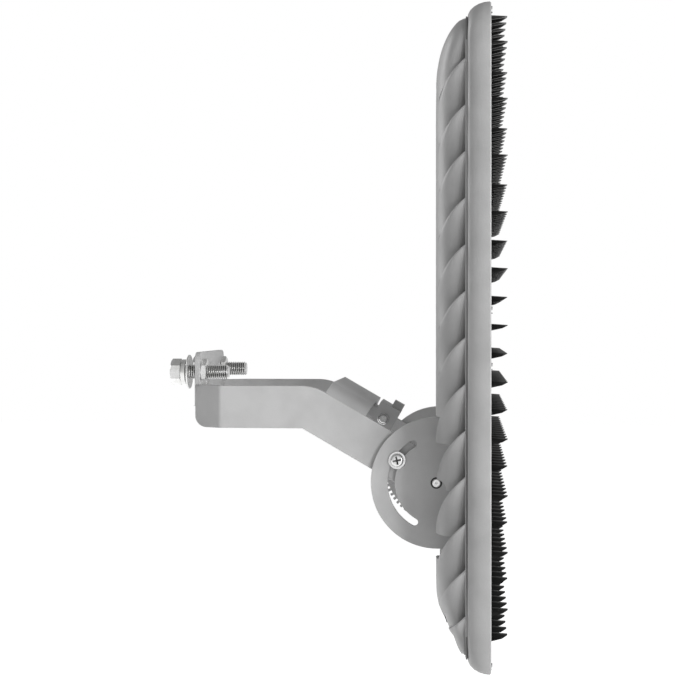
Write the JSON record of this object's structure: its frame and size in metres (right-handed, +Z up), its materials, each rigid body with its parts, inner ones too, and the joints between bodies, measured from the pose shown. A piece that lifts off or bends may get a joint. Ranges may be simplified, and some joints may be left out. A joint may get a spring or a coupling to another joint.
{
  "type": "sports light",
  "caption": "Slim outdoor LED floodlight head with hooded lenses and a finned back, tilting on a bent steel stirrup with arc-slotted ears.",
  "frame": {"origin": "centre of the large hole in the bracket's rear plate, on the plate's outer face", "axes": "+X the way the light shines, +Z up, Y across the head; the light hangs on the wall or pole by the rear plate at x = 0"},
  "size_m": [0.3195, 0.361, 0.594],
  "materials": {
    "bare_aluminium": "grey coated extrusion",
    "black_plastic": "black moulded plastic",
    "board_white": "white solder mask with pale yellow LED packages",
    "bracket_paint": "satin grey powder coat",
    "brass": "turned brass",
    "bush_bronze": "sintered bronze",
    "ear_paint": "satin grey powder coat",
    "grey_plastic": "dark nylon",
    "housing_paint": "satin grey powder coat on die-cast aluminium",
    "lead_sheath": "red lead insulation",
    "lens_clear": "clear moulded lens sheet",
    "screw_steel": "bright stainless steel",
    "seal_rubber": "black silicone",
    "stop_paint": "dark grey coated steel",
    "zinc_plate": "bright zinc plate"
  },
  "bodies": {
    "bracket": {"stirrup_bracket": "bracket_paint", "bridge_plate": "bracket_paint", "tilt_stop_block": "stop_paint", "tilt_stop_bolt": "screw_steel", "tilt_stop_nut": "screw_steel", "tilt_stop_lock_screw": "stop_paint", "tilt_stop_set_screw": "stop_paint", "tilt_stop_screws": "stop_paint", "mount_bolts": "zinc_plate", "mount_spring_washers": "zinc_plate", "mount_flat_washers": "zinc_plate", "mount_nuts": "zinc_plate", "slot_screws": "screw_steel", "slot_washers": "screw_steel", "slot_nuts": "screw_steel", "pivot_bushes": "bush_bronze"},
    "head": {"breather_vent": "grey_plastic", "cable_gland": "grey_plastic", "cable_gland_cap": "grey_plastic", "ear_screws": "screw_steel", "frame_gasket": "seal_rubber", "frame_ledge_screws": "screw_steel", "frame_trim_screws": "screw_steel", "front_frame": "housing_paint", "heat_sink_screws": "screw_steel", "junction_box": "housing_paint", "junction_box_lid": "housing_paint", "junction_box_screws": "screw_steel", "junction_box_seal": "seal_rubber", "lead_grommets": "seal_rubber", "led_leads": "lead_sheath", "left_ear": "ear_paint", "lower_heat_sink": "bare_aluminium", "lower_hood_panel": "black_plastic", "lower_led_board": "board_white", "lower_lens_plate": "lens_clear", "middle_hood_panel": "black_plastic", "middle_led_board": "board_white", "middle_lens_plate": "lens_clear", "panel_screws": "screw_steel", "panel_spacers": "brass", "pivot_bolts": "screw_steel", "rear_housing": "housing_paint", "right_ear": "ear_paint", "terminal_block": "grey_plastic", "terminal_screws": "brass", "upper_heat_sink": "bare_aluminium", "upper_hood_panel": "black_plastic", "upper_led_board": "board_white", "upper_lens_plate": "lens_clear"}
  },
  "joints": [
    {"name": "tilt", "type": "hinge", "parent": "bracket", "child": "head", "pos_m": [0.231, 0, -0.0695], "axis": [0, 1, 0], "range_deg": [-25, 78]}
  ]
}
